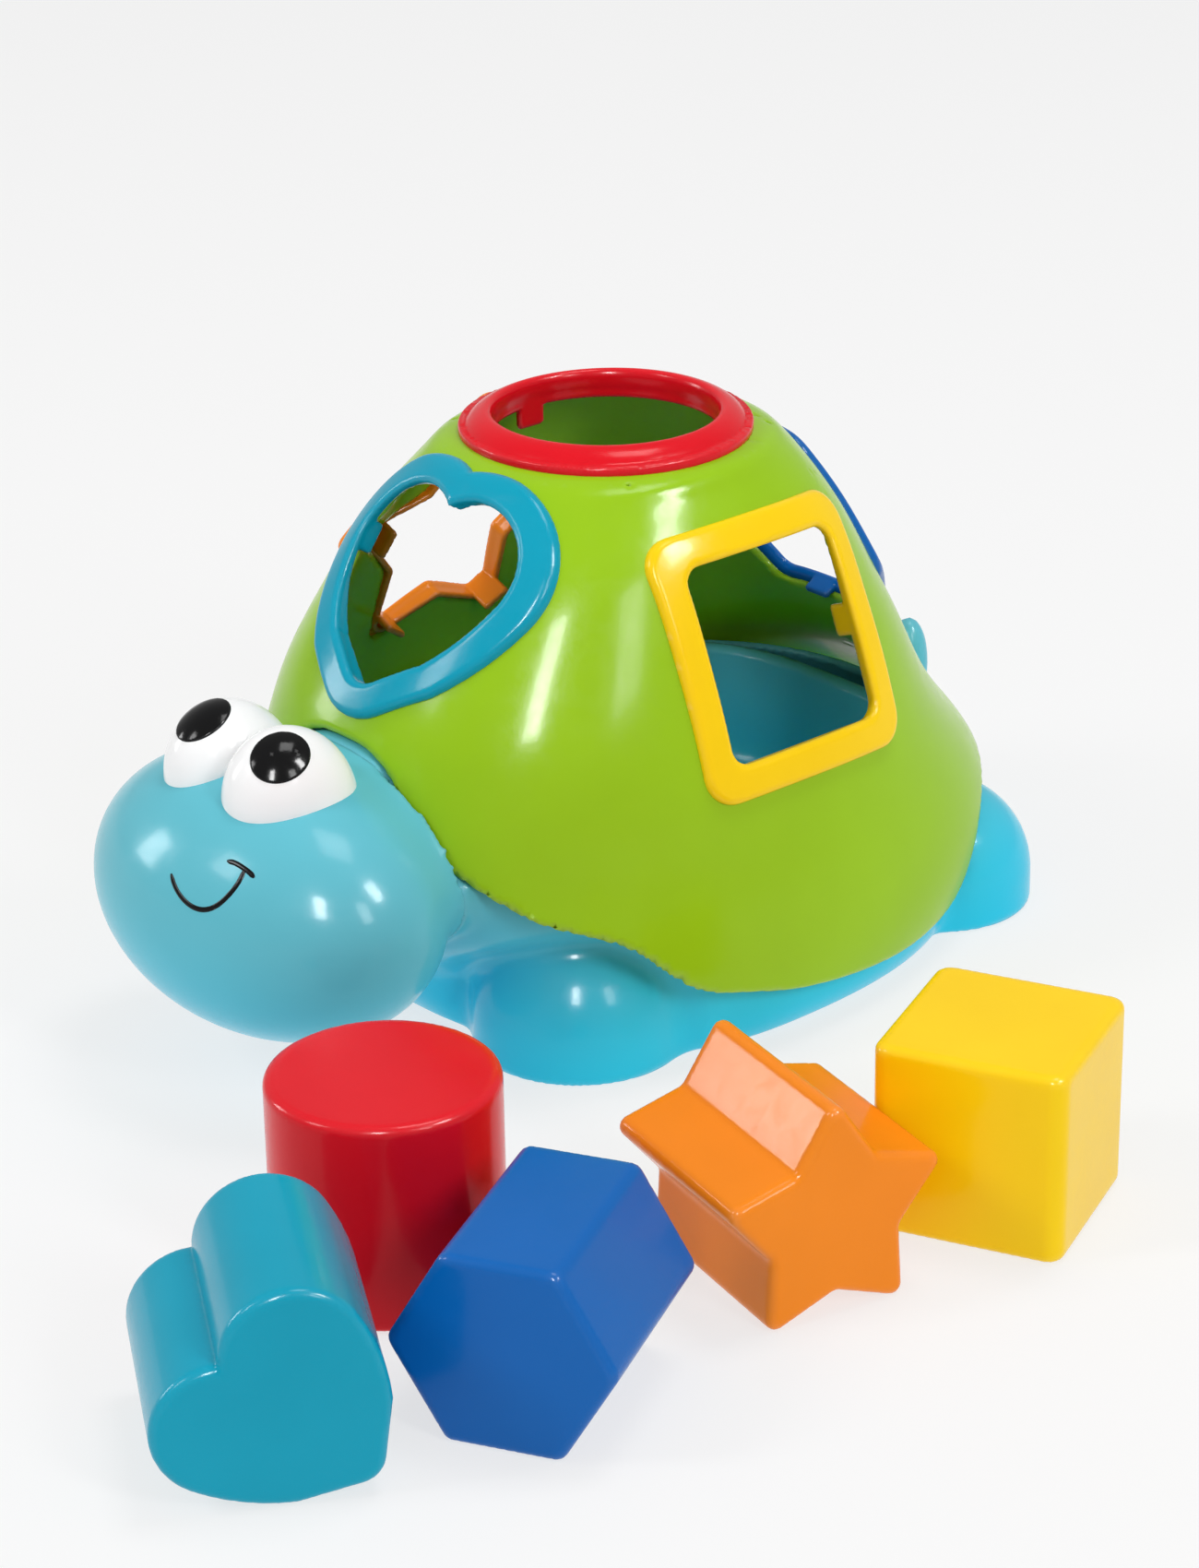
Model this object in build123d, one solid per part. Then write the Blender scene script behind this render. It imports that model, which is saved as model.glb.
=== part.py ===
from build123d import *
import os
from math import cos, hypot, pi, radians, sin, sqrt

# Turtle shape sorter, in millimetres.
# +Z is up and the floor is at z = 0. The origin is on the floor, under the centre of the round top window.
# The turtle faces -Y and its left side is +X.

# ---------------------------------------------------------------- driving dimensions
WALL = 2.5                      # wall of the shell, tub and head mouldings
GAP = 0.3                       # clearance between pieces that come apart
SECTION_POINTS = 36             # points in each rounded outline
ROUND = 2.0                     # squareness of a plain ellipse
FAR = 130.0                     # well past the object on every side
OVERRUN = 1.0                   # a cut runs this far past the face that it opens

# Shell and tub outlines: height, half width, reach to the front, reach to the back, squareness
SHELL_SECTIONS = [
    (4.0, 76.5, 104.0, 104.0, 2.0),
    (14.0, 79.0, 107.0, 109.0, 2.0),
    (24.0, 79.5, 107.0, 110.0, 2.05),
    (36.0, 78.0, 104.0, 106.0, 2.1),
    (47.0, 75.2, 98.5, 98.0, 2.15),
    (58.0, 72.2, 93.5, 87.5, 2.25),
    (70.0, 69.0, 88.5, 78.5, 2.35),
    (84.0, 64.6, 82.5, 71.5, 2.4),
    (98.0, 59.4, 73.5, 64.5, 2.4),
    (112.0, 53.6, 63.0, 57.5, 2.4),
    (124.0, 47.0, 53.0, 50.5, 2.3),
    (132.0, 41.5, 45.5, 45.0, 2.15),
    (136.8, 37.0, 38.5, 38.5, 2.0),
    (138.8, 32.0, 33.0, 33.0, 2.0),
]
TUB_SECTIONS = [
    (0.0, 70.0, 65.0, 90.0, 2.4),
    (4.0, 72.5, 68.0, 92.5, 2.35),
    (14.0, 73.5, 72.5, 94.5, 2.3),
    (26.0, 73.2, 80.0, 96.0, 2.3),
    (38.0, 72.0, 87.5, 96.0, 2.3),
    (50.0, 70.0, 90.5, 90.0, 2.3),
    (62.0, 67.0, 87.5, 81.0, 2.3),
    (74.0, 63.5, 82.5, 72.5, 2.35),
    (84.0, 60.0, 77.5, 66.5, 2.4),
]
BOWL_SECTIONS = [
    (8.0, 44.0, 50.0, 54.0, 2.4),
    (11.0, 53.0, 60.0, 64.0, 2.5),
    (18.0, 59.5, 67.0, 71.5, 2.6),
    (30.0, 63.0, 71.0, 75.5, 2.7),
    (48.0, 65.5, 74.0, 78.5, 2.7),
]
TUB_TOP = 46.0                  # top edge of the tub, apart from the neck
NECK_BACK = -62.0               # where the neck wall ends behind
EDGE_SPLIT = -28.0              # the two edge curves meet at this y
EDGE_PLAY = 0.6                 # the feet and head stay this far under the skirt's edge
BOWL_LIP = 1.8                  # how far the bowl's lip reaches over the tub's edge
BOWL_SEAT = 8.0                 # depth over which the tub's edge is trimmed to the bowl
RIB_PLACES = (-25.0, 25.0)      # ribs inside the shell that stand on the tub's edge
RIB_X = 70.5
RIB_DEPTH = 5.0
RIB_WIDTH = 4.0
RIB_HEIGHT = 8.0

# Lower edge of the skirt: (x, z) over the neck and front feet, then (y, z) along the sides and back
FRONT_EDGE = [(0, 78.8), (11, 77.5), (22, 70.2), (34, 58.5), (44, 51.6), (56, 43.5), (64, 39.0),
              (69, 33.5), (73.5, 24.2), (77.5, 18.6), (84, 12.0)]
SIDE_EDGE = [(-44, 22.0), (-28, 19.2), (-12, 15.2), (8, 12.0), (33, 9.8), (50, 11.0), (60, 15.5),
             (67, 23.5), (75, 31.0), (88, 37.0), (104, 41.0), (118, 42.0)]
NOTCH_RADIUS = 8.2              # rounded notch over the tail, so that the lid lifts past it
NOTCH_HEIGHT = 41.0
NOTCH_DEPTH = 50.0
EDGE_FLOOR = -30.0              # the room under the skirt's edge goes down to here

# Windows: the frame stands on the shell along a sloping plane through this point
WINDOW_PLACES = {
    "circle": (0, 0, 140.6),
    "square": (61.0, 4.0, 96.3),
    "star": (-61.0, -4.0, 96.3),
    "heart": (0, -59.3, 119.0),
    "hexagon": (0, 66.0, 100.0),
}
SIDE_LEAN = 21.6                # lean of the square and star windows from vertical, degrees
END_LEAN = 36.3                 # lean of the heart and hexagon windows
RIM_WIDTH = 8.2                 # width of the visible band
RIM_SCALE = 1.033               # the bands reach out to the shell's shape, this much larger
COVER_BASE = 40.0               # height about which that larger shape is scaled
RING_TOP = 142.4                # flat top of the round window's band
BAND_BELOW = 12.0               # the band is cut from a slab about the window plane
BAND_ABOVE = 10.0
COLLAR = 1.6                    # wall of the collar that lines the hole
COLLAR_DEPTH = 6.0              # collar below the window plane, and as far above it until it is trimmed
COLLAR_PLAY = 0.2               # play between the collar and the shell
TAB_WIDTH = 8.0
TAB_DEPTH = 11.0                # tab below the window plane
HOLE_PLAY = 2.0                 # hole is this much larger than the block on each side
HOLE_REACH = 30.0               # a hole is cut this far to each side of its plane

# Blocks
BLOCK_DEPTH = 50.0
BLOCK_WALL = 2.2
BLOCK_EDGE = 2.0                # rounding of the end edges
PLUG_DEPTH = 3.0
PLUG_SUNK = 0.5                 # the plug sits this far inside the cup's open end
CIRCLE_RADIUS = 26.0
SQUARE_SIDE = 45.0
SQUARE_HEIGHT = 46.0
SQUARE_CORNER = 4.0
SQUARE_SOFTENING = 0.7          # the corner radius grows by this share of the outline's growth
HEX_SIDE = 25.5
HEX_CORNER = 3.0
HEX_SOFTENING = 0.5
STAR_TIP = 29.5
STAR_WAIST = 0.58               # inner radius over tip radius
STAR_CORNER = 2.5
STAR_TAB_INSET = 3.5            # the star's tabs stand this far inside its tips
HEART_LOBE = 15.2
HEART_SPREAD = 10.6             # lobe centres from the middle
HEART_TIP = 33.5                # tip below the lobe centres
HEART_CORNER = 6.0              # rounding of the tip
HEART_LOBE_TOP = 60.0           # a point on the lobe's arc, and its end, in degrees from the right
HEART_LOBE_END = -15.0
HEART_ROLL = 46.7               # the heart block lies on one of its straight sides

# Head and eyes
HEAD_CENTRE = (0.0, -108.4, 46.6)
HEAD_HALF_WIDTH = 52.0
HEAD_RADIUS = 34.9
HEAD_FLAT_LATITUDE = 80.0       # where the flats at the head's top and bottom start, degrees
HEAD_STEPS = 5                  # sections from the head's middle to each flat
EYE_CENTRE = (11.4, -109.3, 73.4)
EYE_RADII = (13.9, 16.6, 19.3)
EYE_LEAN = 23.7                 # eyes lean back, degrees
PUPIL_PROUD = 0.3
PUPIL_SUNK = 0.6
PUPIL_RADII = (6.2, 7.4)        # across and along the eye
PUPIL_REACH = 6.0               # the pupils are cut from discs this thick to each side
PUPILS = {                      # place, direction across, and facing
    "left": ((17.0, -115.8, 88.9), (0.92, 0.1, -0.33), (0.35, -0.42, 0.84)),
    "right": ((-11.3, -116.8, 89.4), (1, 0, 0), (0.02, -0.49, 0.87)),
}
SCREW_X = 20.0
SCREW_Z = 44.0
SCREW_SHANK = 1.5               # radius
SCREW_PLAY = 0.1
SCREW_HEAD = 3.5                # radius
SCREW_HEAD_HEIGHT = 2.0
SCREW_LENGTH = 19.0             # under the head
SCREW_SEAT = -82.2              # y of the flat pads inside the tub that the screw heads sit on
BOSS_RADIUS = 4.5
BOSS_START = -72.0              # y where the head's bosses start, inside the neck before they are trimmed

# Feet (x, y, radius) are columns with a round top
FEET = [(40.0, -46.0, 26.5), (42.0, 75.5, 24.5)]
FOOT_SHOULDER = 8.0             # height where the round top starts
TAIL_TIP = (0.0, 105.3, 42.5)
TAIL_TIP_RADIUS = 6.0
TAIL_TIP_HALF_HEIGHT = 14.5
TAIL_LEAN = -6.0
TAIL_ROOT = (0.0, 97.0, 26.0)
TAIL_ROOT_RADIUS = 13.5

os.makedirs("parts", exist_ok=True)


# ---------------------------------------------------------------- shared shapes
def outline(height, half_width, front, back, squareness):
    """A closed egg-like outline: a superellipse whose front and back halves differ."""
    points = []
    for index in range(SECTION_POINTS):
        angle = 2 * pi * index / SECTION_POINTS
        c, s = cos(angle), sin(angle)
        reach = back if s > 0 else front
        radius = (abs(c / half_width) ** squareness + abs(s / reach) ** squareness) ** (-1 / squareness)
        points.append((radius * c, radius * s, height))
    return make_face(Spline(*points, periodic=True))


def inset(sections, wall):
    """The same sections moved inwards by a wall measured square to the surface."""
    moved = []
    for index, (height, *reaches, squareness) in enumerate(sections):
        below = sections[max(index - 1, 0)]
        above = sections[min(index + 1, len(sections) - 1)]
        rise = above[0] - below[0]
        inner = [reach - wall * hypot(1, (above[k + 1] - below[k + 1]) / rise)
                 for k, reach in enumerate(reaches)]
        moved.append((height, *inner, squareness))
    return moved


def dome(sections):
    return loft([outline(*section) for section in sections])


def ellipsoid(centre, radii, lean=0.0):
    ball = scale(Sphere(1), by=tuple(radii))
    return Location(centre) * (Rotation(lean, 0, 0) * ball)


def spun(radius, half_length):
    """An ellipsoid of revolution about Z."""
    arc = EllipticalCenterArc((0, 0), radius, half_length, start_angle=-90, arc_size=180)
    profile = make_face([arc, Line((0, half_length), (0, -half_length))])
    return revolve(Plane.XZ * profile, Axis.Z)


def mirrored(shape):
    return mirror(shape, about=Plane.YZ)


def below_edge(points, axis, start, length):
    """Everything under a curve drawn across one axis and pushed along the other."""
    curve = Spline(*points)
    first, last = points[0], points[-1]
    frame = Polyline(last, (last[0], EDGE_FLOOR), (first[0], EDGE_FLOOR), first)
    face = make_face([curve, frame])
    plane = Plane.XZ if axis == "x" else Plane.YZ
    return plane * Pos(0, 0, start) * extrude(face, amount=length)


def under_skirt(drop=0.0):
    """The two prisms under the skirt's edge: in front across the turtle, and along its sides."""
    front_points = [(-x, z) for x, z in reversed(FRONT_EDGE[1:])] + FRONT_EDGE
    front = below_edge(front_points, "x", -EDGE_SPLIT, FAR)
    side = below_edge(SIDE_EDGE, "y", -FAR, 2 * FAR)
    return [Pos(0, 0, -drop) * front, Pos(0, 0, -drop) * side]


# ---------------------------------------------------------------- block and window outlines
def circle_outline(grow=0.0):
    return make_face(Circle(CIRCLE_RADIUS + grow).edges())


def square_outline(grow=0.0):
    side = SQUARE_SIDE + 2 * grow
    return RectangleRounded(side, side, SQUARE_CORNER + max(grow, 0) * SQUARE_SOFTENING)


def hexagon_outline(grow=0.0):
    corners = RegularPolygon(HEX_SIDE + grow / cos(pi / 6), 6)
    return fillet(corners.vertices(), HEX_CORNER + max(grow, 0) * HEX_SOFTENING)


def star_outline(grow=0.0):
    """Five tips with five waists between them, the first tip pointing up."""
    turns = [radians(90 + 36 * i) for i in range(10)]
    radii = [STAR_TIP, STAR_TIP * STAR_WAIST] * 5
    points = [(radius * cos(turn), radius * sin(turn)) for radius, turn in zip(radii, turns)]
    star = make_face(Polyline(*points, close=True))
    if grow:
        star = offset(star, amount=grow, kind=Kind.INTERSECTION)
    return fillet(star.vertices(), STAR_CORNER)


def heart_outline(grow=0.0):
    """Two round lobes with a sharp notch, and sides that bow gently to a rounded tip."""
    notch = sqrt(HEART_LOBE ** 2 - HEART_SPREAD ** 2)
    top, end = [(HEART_SPREAD + HEART_LOBE * cos(radians(turn)), HEART_LOBE * sin(radians(turn)))
                for turn in (HEART_LOBE_TOP, HEART_LOBE_END)]
    leave = (sin(radians(HEART_LOBE_END)), -cos(radians(HEART_LOBE_END)))
    lobe_arc = ThreePointArc((0, notch), top, end)
    side_arc = TangentArc(end, (0, -HEART_TIP), tangent=leave)
    right = Curve() + [lobe_arc, side_arc]
    heart = make_face([*right.edges(), *mirror(right, about=Plane.YZ).edges()])
    tip = heart.vertices().sort_by(Axis.Y)[0]
    heart = fillet(tip, HEART_CORNER)
    if grow:
        heart = offset(heart, amount=grow, kind=Kind.ARC)
    return heart


OUTLINES = {"circle": circle_outline, "square": square_outline, "heart": heart_outline,
            "hexagon": hexagon_outline, "star": star_outline}


def window_planes():
    """Each window's plane, with its right-hand and outward directions."""
    side, end = radians(SIDE_LEAN), radians(END_LEAN)
    directions = {
        "circle": ((1, 0, 0), (0, 0, 1)),
        "square": ((0, 1, 0), (cos(side), 0, sin(side))),
        "star": ((0, -1, 0), (-cos(side), 0, sin(side))),
        "heart": ((1, 0, 0), (0, -cos(end), sin(end))),
        "hexagon": ((-1, 0, 0), (0, cos(end), sin(end))),
    }
    return {name: Plane(origin=WINDOW_PLACES[name], x_dir=right, z_dir=out)
            for name, (right, out) in directions.items()}


# Tab places on each window: (distance from the window's centre, direction in degrees)
TABS = {
    "circle": [(CIRCLE_RADIUS, 0), (CIRCLE_RADIUS, 180)],
    "square": [(SQUARE_SIDE / 2, 0), (SQUARE_SIDE / 2, 180)],
    "hexagon": [(HEX_SIDE * cos(pi / 6), 90), (HEX_SIDE * cos(pi / 6), 270)],
    "star": [(STAR_TIP - STAR_TAB_INSET, 90 + 72 * i) for i in range(5)],
    "heart": [(HEART_LOBE + HEART_SPREAD, 0), (HEART_LOBE + HEART_SPREAD, 180)],
}


# ---------------------------------------------------------------- lid
def build_shell():
    """The dome with its skirt, five holes, a notch over the tail and ribs that stand on the tub."""
    inner = inset(SHELL_SECTIONS, WALL)
    lowest = (-2 * OVERRUN, *inner[0][1:])
    shell = dome(SHELL_SECTIONS) - dome([lowest, *inner[:-1]])
    for prism in under_skirt():
        shell -= prism
    shell -= Pos(0, TAIL_TIP[1], NOTCH_HEIGHT) * Rotation(90, 0, 0) * Cylinder(NOTCH_RADIUS, NOTCH_DEPTH)
    for name, plane in window_planes().items():
        cut = OUTLINES[name](HOLE_PLAY + COLLAR + COLLAR_PLAY)
        shell -= plane * Pos(0, 0, -HOLE_REACH) * extrude(cut, amount=2 * HOLE_REACH)
    for y in RIB_PLACES:
        rib = Pos(RIB_X, y, TUB_TOP + GAP + RIB_HEIGHT / 2) * Box(RIB_DEPTH, RIB_WIDTH, RIB_HEIGHT)
        rib = rib & dome(SHELL_SECTIONS)
        shell += rib + mirrored(rib)
    return shell


def build_rim(name, plane, lid, cover):
    """A raised band that follows the shell, with a collar through the hole and snap tabs inside."""
    band = OUTLINES[name](HOLE_PLAY + RIM_WIDTH)
    collar = OUTLINES[name](HOLE_PLAY + COLLAR)
    bore = plane * Pos(0, 0, -HOLE_REACH) * extrude(OUTLINES[name](HOLE_PLAY), amount=2 * HOLE_REACH)
    if name == "circle":
        cover = Pos(0, 0, RING_TOP / 2) * Box(FAR, FAR, RING_TOP)
    slab = plane * Pos(0, 0, -BAND_BELOW) * extrude(band, amount=BAND_BELOW + BAND_ABOVE)
    flange = (slab - bore) & cover
    liner = plane * Pos(0, 0, -COLLAR_DEPTH) * extrude(collar, amount=2 * COLLAR_DEPTH) - bore
    for distance, direction in TABS[name]:
        reach = distance + HOLE_PLAY + COLLAR / 2
        tab = Pos(reach, 0, -TAB_DEPTH / 2) * Box(COLLAR, TAB_WIDTH, TAB_DEPTH)
        liner += plane * Rotation(0, 0, direction) * tab
    return (flange - lid) + (liner & cover)


# ---------------------------------------------------------------- base
def feet():
    """Four columns with round tops, trimmed to stay under the skirt."""
    front, side = under_skirt(EDGE_PLAY)
    lumps = []
    for x, y, radius in FEET:
        on_floor = (Align.CENTER, Align.CENTER, Align.MIN)
        column = Cylinder(radius, FOOT_SHOULDER, align=on_floor)
        top = Pos(0, 0, FOOT_SHOULDER) * Sphere(radius, arc_size1=0, align=on_floor)
        lump = Pos(x, y, 0) * (column + top)
        lump = lump & (front if y < 0 else side)
        lumps += [lump, mirrored(lump)]
    return lumps


def screw_places():
    return [(-SCREW_X, SCREW_Z), (SCREW_X, SCREW_Z)]


def rod(x, z, radius, near, far):
    """A round bar along Y, from near (behind) to far (in front)."""
    return Pos(x, (near + far) / 2, z) * Rotation(90, 0, 0) * Cylinder(radius, near - far)


def build_body_base():
    """The tub with its neck wall, feet and tail, seats for the head's screws, and room for the bowl."""
    body = dome(TUB_SECTIONS)
    body -= Pos(0, NECK_BACK + FAR, TUB_TOP + FAR / 2) * Box(2 * FAR, 2 * FAR, FAR)
    tail = Location(TAIL_ROOT) * Sphere(TAIL_ROOT_RADIUS)
    tail += Location(TAIL_TIP, (TAIL_LEAN, 0, 0)) * spun(TAIL_TIP_RADIUS, TAIL_TIP_HALF_HEIGHT)
    for lump in [*feet(), tail]:
        body += lump
    inner = inset(TUB_SECTIONS, WALL)
    body -= dome([(WALL, *inner[0][1:]), *inner[1:-1], (inner[-1][0] + OVERRUN, *inner[-1][1:])])
    for x, z in screw_places():
        body += rod(x, z, BOSS_RADIUS, SCREW_SEAT, SCREW_SEAT - WALL - OVERRUN)
        body -= rod(x, z, SCREW_SHANK + SCREW_PLAY, NECK_BACK, HEAD_CENTRE[1])
    body -= bowl_prism(GAP, TUB_TOP - BOWL_SEAT, 2 * BOWL_SEAT)
    body -= bowl_prism(BOWL_LIP + 2 * GAP, TUB_TOP, FAR)
    return body


def bowl_prism(grow, bottom, height):
    """A prism of the bowl's mouth, grown by a margin."""
    top = BOWL_SECTIONS[-1]
    return extrude(outline(bottom, *[reach + grow for reach in top[1:4]], top[4]), amount=height)


def build_inner_bowl():
    outer = dome(BOWL_SECTIONS)
    lip = bowl_prism(GAP + BOWL_LIP, TUB_TOP, BOWL_SECTIONS[-1][0] - TUB_TOP)
    inner = inset(BOWL_SECTIONS, WALL)
    floor = outline(BOWL_SECTIONS[0][0] + WALL, *inner[0][1:])
    hollow = loft([floor] + [outline(*section) for section in inner[2:-1]]
                  + [outline(BOWL_SECTIONS[-1][0] + OVERRUN, *inner[-1][1:])])
    return outer + lip - hollow


def skull(wall=0.0):
    """The ball of the head, with small flats at its top and bottom."""
    _, y, z = HEAD_CENTRE
    radius, half_width = HEAD_RADIUS - wall, HEAD_HALF_WIDTH - wall
    sections = []
    for step in range(-HEAD_STEPS, HEAD_STEPS + 1):
        latitude = radians(HEAD_FLAT_LATITUDE * step / HEAD_STEPS)
        reach = radius * cos(latitude)
        sections.append((z + radius * sin(latitude), half_width * cos(latitude), reach, reach, ROUND))
    return Pos(0, y, 0) * dome(sections)


def build_head():
    """A hollow ball that fits round the neck and under the shell's arch, with a boss for each screw."""
    tub = dome(TUB_SECTIONS)
    shell_room = dome(inset(SHELL_SECTIONS, -EDGE_PLAY))
    for prism in under_skirt(EDGE_PLAY):
        shell_room -= prism
    head = skull() - tub - shell_room - skull(WALL)
    for x, z in screw_places():
        boss = rod(x, z, BOSS_RADIUS, BOSS_START, HEAD_CENTRE[1] - HEAD_RADIUS + OVERRUN) & skull()
        head += boss - tub
    for foot in feet():
        head -= foot
    for x, z in screw_places():
        head -= rod(x, z, SCREW_SHANK, NECK_BACK, SCREW_SEAT - SCREW_LENGTH - 2 * OVERRUN)
    return head


def build_head_screws():
    """Pan-head screws from inside the tub into the head's bosses."""
    screws = []
    for x, z in screw_places():
        shank = rod(x, z, SCREW_SHANK, SCREW_SEAT, SCREW_SEAT - SCREW_LENGTH)
        cap = rod(x, z, SCREW_HEAD, SCREW_SEAT + SCREW_HEAD_HEIGHT, SCREW_SEAT)
        screws.append(shank + cap)
    return Compound(children=[Part() + screw for screw in screws])


def eye_solid(side, grow=0.0):
    x, y, z = EYE_CENTRE
    return ellipsoid((side * x, y, z), [radius + grow for radius in EYE_RADII], EYE_LEAN)


def build_pupil(name):
    side = 1 if name == "left" else -1
    place, across, facing = PUPILS[name]
    plane = Plane(origin=place, x_dir=across, z_dir=facing)
    oval = make_face(Ellipse(*PUPIL_RADII).edges())
    disc = plane * Pos(0, 0, -PUPIL_REACH) * extrude(oval, amount=2 * PUPIL_REACH)
    return disc & (eye_solid(side, PUPIL_PROUD) - eye_solid(side, -PUPIL_SUNK))


def build_eye(name, pupil):
    side = 1 if name == "left" else -1
    half = Pos(side * FAR / 2, EYE_CENTRE[1], EYE_CENTRE[2]) * Box(FAR, FAR, FAR)
    eye = (eye_solid(side) - eye_solid(side, -WALL)) & half
    return eye - skull() - pupil


# ---------------------------------------------------------------- blocks
def block_parts(name):
    """A closed block along +Z: a cup with its closed end on top, and a plug in its open end."""
    face = OUTLINES[name]()
    depth = SQUARE_HEIGHT if name == "square" else BLOCK_DEPTH
    solid = extrude(face, amount=depth)
    ends = solid.faces().sort_by(Axis.Z)
    solid = fillet(ends[-1].edges() + ends[0].edges(), BLOCK_EDGE)
    inner = OUTLINES[name](-BLOCK_WALL)
    cup = solid - extrude(inner, amount=depth - BLOCK_WALL)
    plug = Pos(0, 0, PLUG_SUNK) * extrude(inner, amount=PLUG_DEPTH)
    return cup, plug


# Where each block rests on the floor: x, y, turn of its right-hand direction, roll about its centre line.
# The place is that of the standing block's axis, or of the front face's centre on a lying block.
BLOCK_PLACES = {
    "circle": (96.3, -150.4, 0.0, 0.0),
    "square": (165.0, -30.0, 24.3, 0.0),
    "heart": (151.5, -226.5, 60.0, HEART_ROLL),
    "hexagon": (168.0, -178.6, 28.5, 0.0),
    "star": (175.5, -90.3, 78.0, 0.0),
}


def block_location(name, cup):
    """The place of a block's own frame, with the block let down onto the floor."""
    x, y, turn, roll = BLOCK_PLACES[name]
    if name in ("circle", "square"):
        return Location((x, y, 0), (0, 0, turn))
    right = (cos(radians(turn)), sin(radians(turn)), 0)
    front = (sin(radians(turn)), -cos(radians(turn)), 0)
    start = (x - BLOCK_DEPTH * front[0], y - BLOCK_DEPTH * front[1], 0)
    place = Plane(origin=start, x_dir=right, z_dir=front).location * Location((0, 0, 0), (0, 0, roll))
    return Location((0, 0, -(place * cup).bounding_box().min.Z)) * place


def save(name, shape):
    shape.label = name
    export_step(shape, f"parts/{name}.step")


def main():
    lid = dome(SHELL_SECTIONS)
    cover = Pos(0, 0, COVER_BASE) * scale(Pos(0, 0, -COVER_BASE) * lid, by=RIM_SCALE)
    save("shell", build_shell())
    for name, plane in window_planes().items():
        save(f"rim_{name}", build_rim(name, plane, lid, cover))
    save("body_base", build_body_base())
    save("inner_bowl", build_inner_bowl())
    save("head", build_head())
    save("head_screws", build_head_screws())
    for name in PUPILS:
        pupil = build_pupil(name)
        save(f"pupil_{name}", pupil)
        save(f"eye_{name}", build_eye(name, pupil))
    for name in OUTLINES:
        cup, plug = block_parts(name)
        place = block_location(name, cup)
        save(f"{name}_block", place * cup)
        save(f"{name}_plug", place * plug)


main()
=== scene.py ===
import bpy
import math
import numpy as np
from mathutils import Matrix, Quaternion, Vector


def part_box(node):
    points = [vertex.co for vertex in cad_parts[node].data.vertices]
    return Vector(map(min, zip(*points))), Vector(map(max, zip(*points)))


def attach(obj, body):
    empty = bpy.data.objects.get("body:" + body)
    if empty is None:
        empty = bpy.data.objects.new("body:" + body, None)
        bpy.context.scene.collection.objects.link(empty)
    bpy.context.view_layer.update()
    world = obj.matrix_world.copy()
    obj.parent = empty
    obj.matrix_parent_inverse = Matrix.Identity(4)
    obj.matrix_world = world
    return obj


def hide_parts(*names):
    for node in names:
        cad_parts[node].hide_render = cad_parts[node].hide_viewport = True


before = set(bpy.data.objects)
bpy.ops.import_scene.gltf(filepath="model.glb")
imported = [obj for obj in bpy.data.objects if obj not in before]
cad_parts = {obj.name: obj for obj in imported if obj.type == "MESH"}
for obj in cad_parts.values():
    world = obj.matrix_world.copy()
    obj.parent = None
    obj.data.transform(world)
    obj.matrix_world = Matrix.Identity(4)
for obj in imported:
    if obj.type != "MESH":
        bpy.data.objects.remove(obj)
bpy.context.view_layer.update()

# Looks of the turtle shape sorter. Blender works in metres; the fields below work in millimetres,
# so each shape is a distance field in the same frame as the CAD, meshed and scaled by MM.
# +Z is up, the turtle faces -Y, and the origin is on the floor under the round window.
MM = 0.001

# ---------------------------------------------------------------- driving dimensions, as in the CAD
WALL = 2.5
LIP_ROUNDING = 1.2
# height, half width, reach to the front, reach to the back, squareness
SHELL_SECTIONS = [
    (4.0, 76.5, 104.0, 104.0, 2.0), (14.0, 79.0, 107.0, 109.0, 2.0), (24.0, 79.5, 107.0, 110.0, 2.05),
    (36.0, 78.0, 104.0, 106.0, 2.1), (47.0, 75.2, 98.5, 98.0, 2.15), (58.0, 72.2, 93.5, 87.5, 2.25),
    (70.0, 69.0, 88.5, 78.5, 2.35), (84.0, 64.6, 82.5, 71.5, 2.4), (98.0, 59.4, 73.5, 64.5, 2.4),
    (112.0, 53.6, 63.0, 57.5, 2.4), (124.0, 47.0, 53.0, 50.5, 2.3), (132.0, 41.5, 45.5, 45.0, 2.15),
    (136.8, 37.0, 38.5, 38.5, 2.0), (138.8, 32.0, 33.0, 33.0, 2.0),
]
TUB_SECTIONS = [
    (0.0, 70.0, 65.0, 90.0, 2.4), (4.0, 72.5, 68.0, 92.5, 2.35), (14.0, 73.5, 72.5, 94.5, 2.3),
    (26.0, 73.2, 80.0, 96.0, 2.3), (38.0, 72.0, 87.5, 96.0, 2.3), (50.0, 70.0, 90.5, 90.0, 2.3),
    (62.0, 67.0, 87.5, 81.0, 2.3), (74.0, 63.5, 82.5, 72.5, 2.35), (84.0, 60.0, 77.5, 66.5, 2.4),
]
BOWL_SECTIONS = [
    (8.0, 50.0, 57.0, 61.0, 2.5), (11.0, 53.0, 60.0, 64.0, 2.5), (18.0, 59.5, 67.0, 71.5, 2.6),
    (30.0, 63.0, 71.0, 75.5, 2.7), (48.0, 65.5, 74.0, 78.5, 2.7),
]
TUB_TOP, NECK_TOP, NECK_BACK = 46.0, 84.0, -62.0
BOWL_TOP, BOWL_FLOOR, BOWL_CORNER, BOWL_LIP, BOWL_LIP_ROUNDING = 48.0, 8.0, 9.0, 2.1, 0.9
SHELL_TOP, SHELL_TOP_ROUNDING = 138.8, 5.0
FRONT_EDGE = [(0, 78.8), (11, 77.5), (22, 70.2), (34, 58.5), (44, 51.6), (56, 43.5), (64, 39.0),
              (69, 33.5), (73.5, 24.2), (77.5, 18.6), (84, 12.0)]
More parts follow.
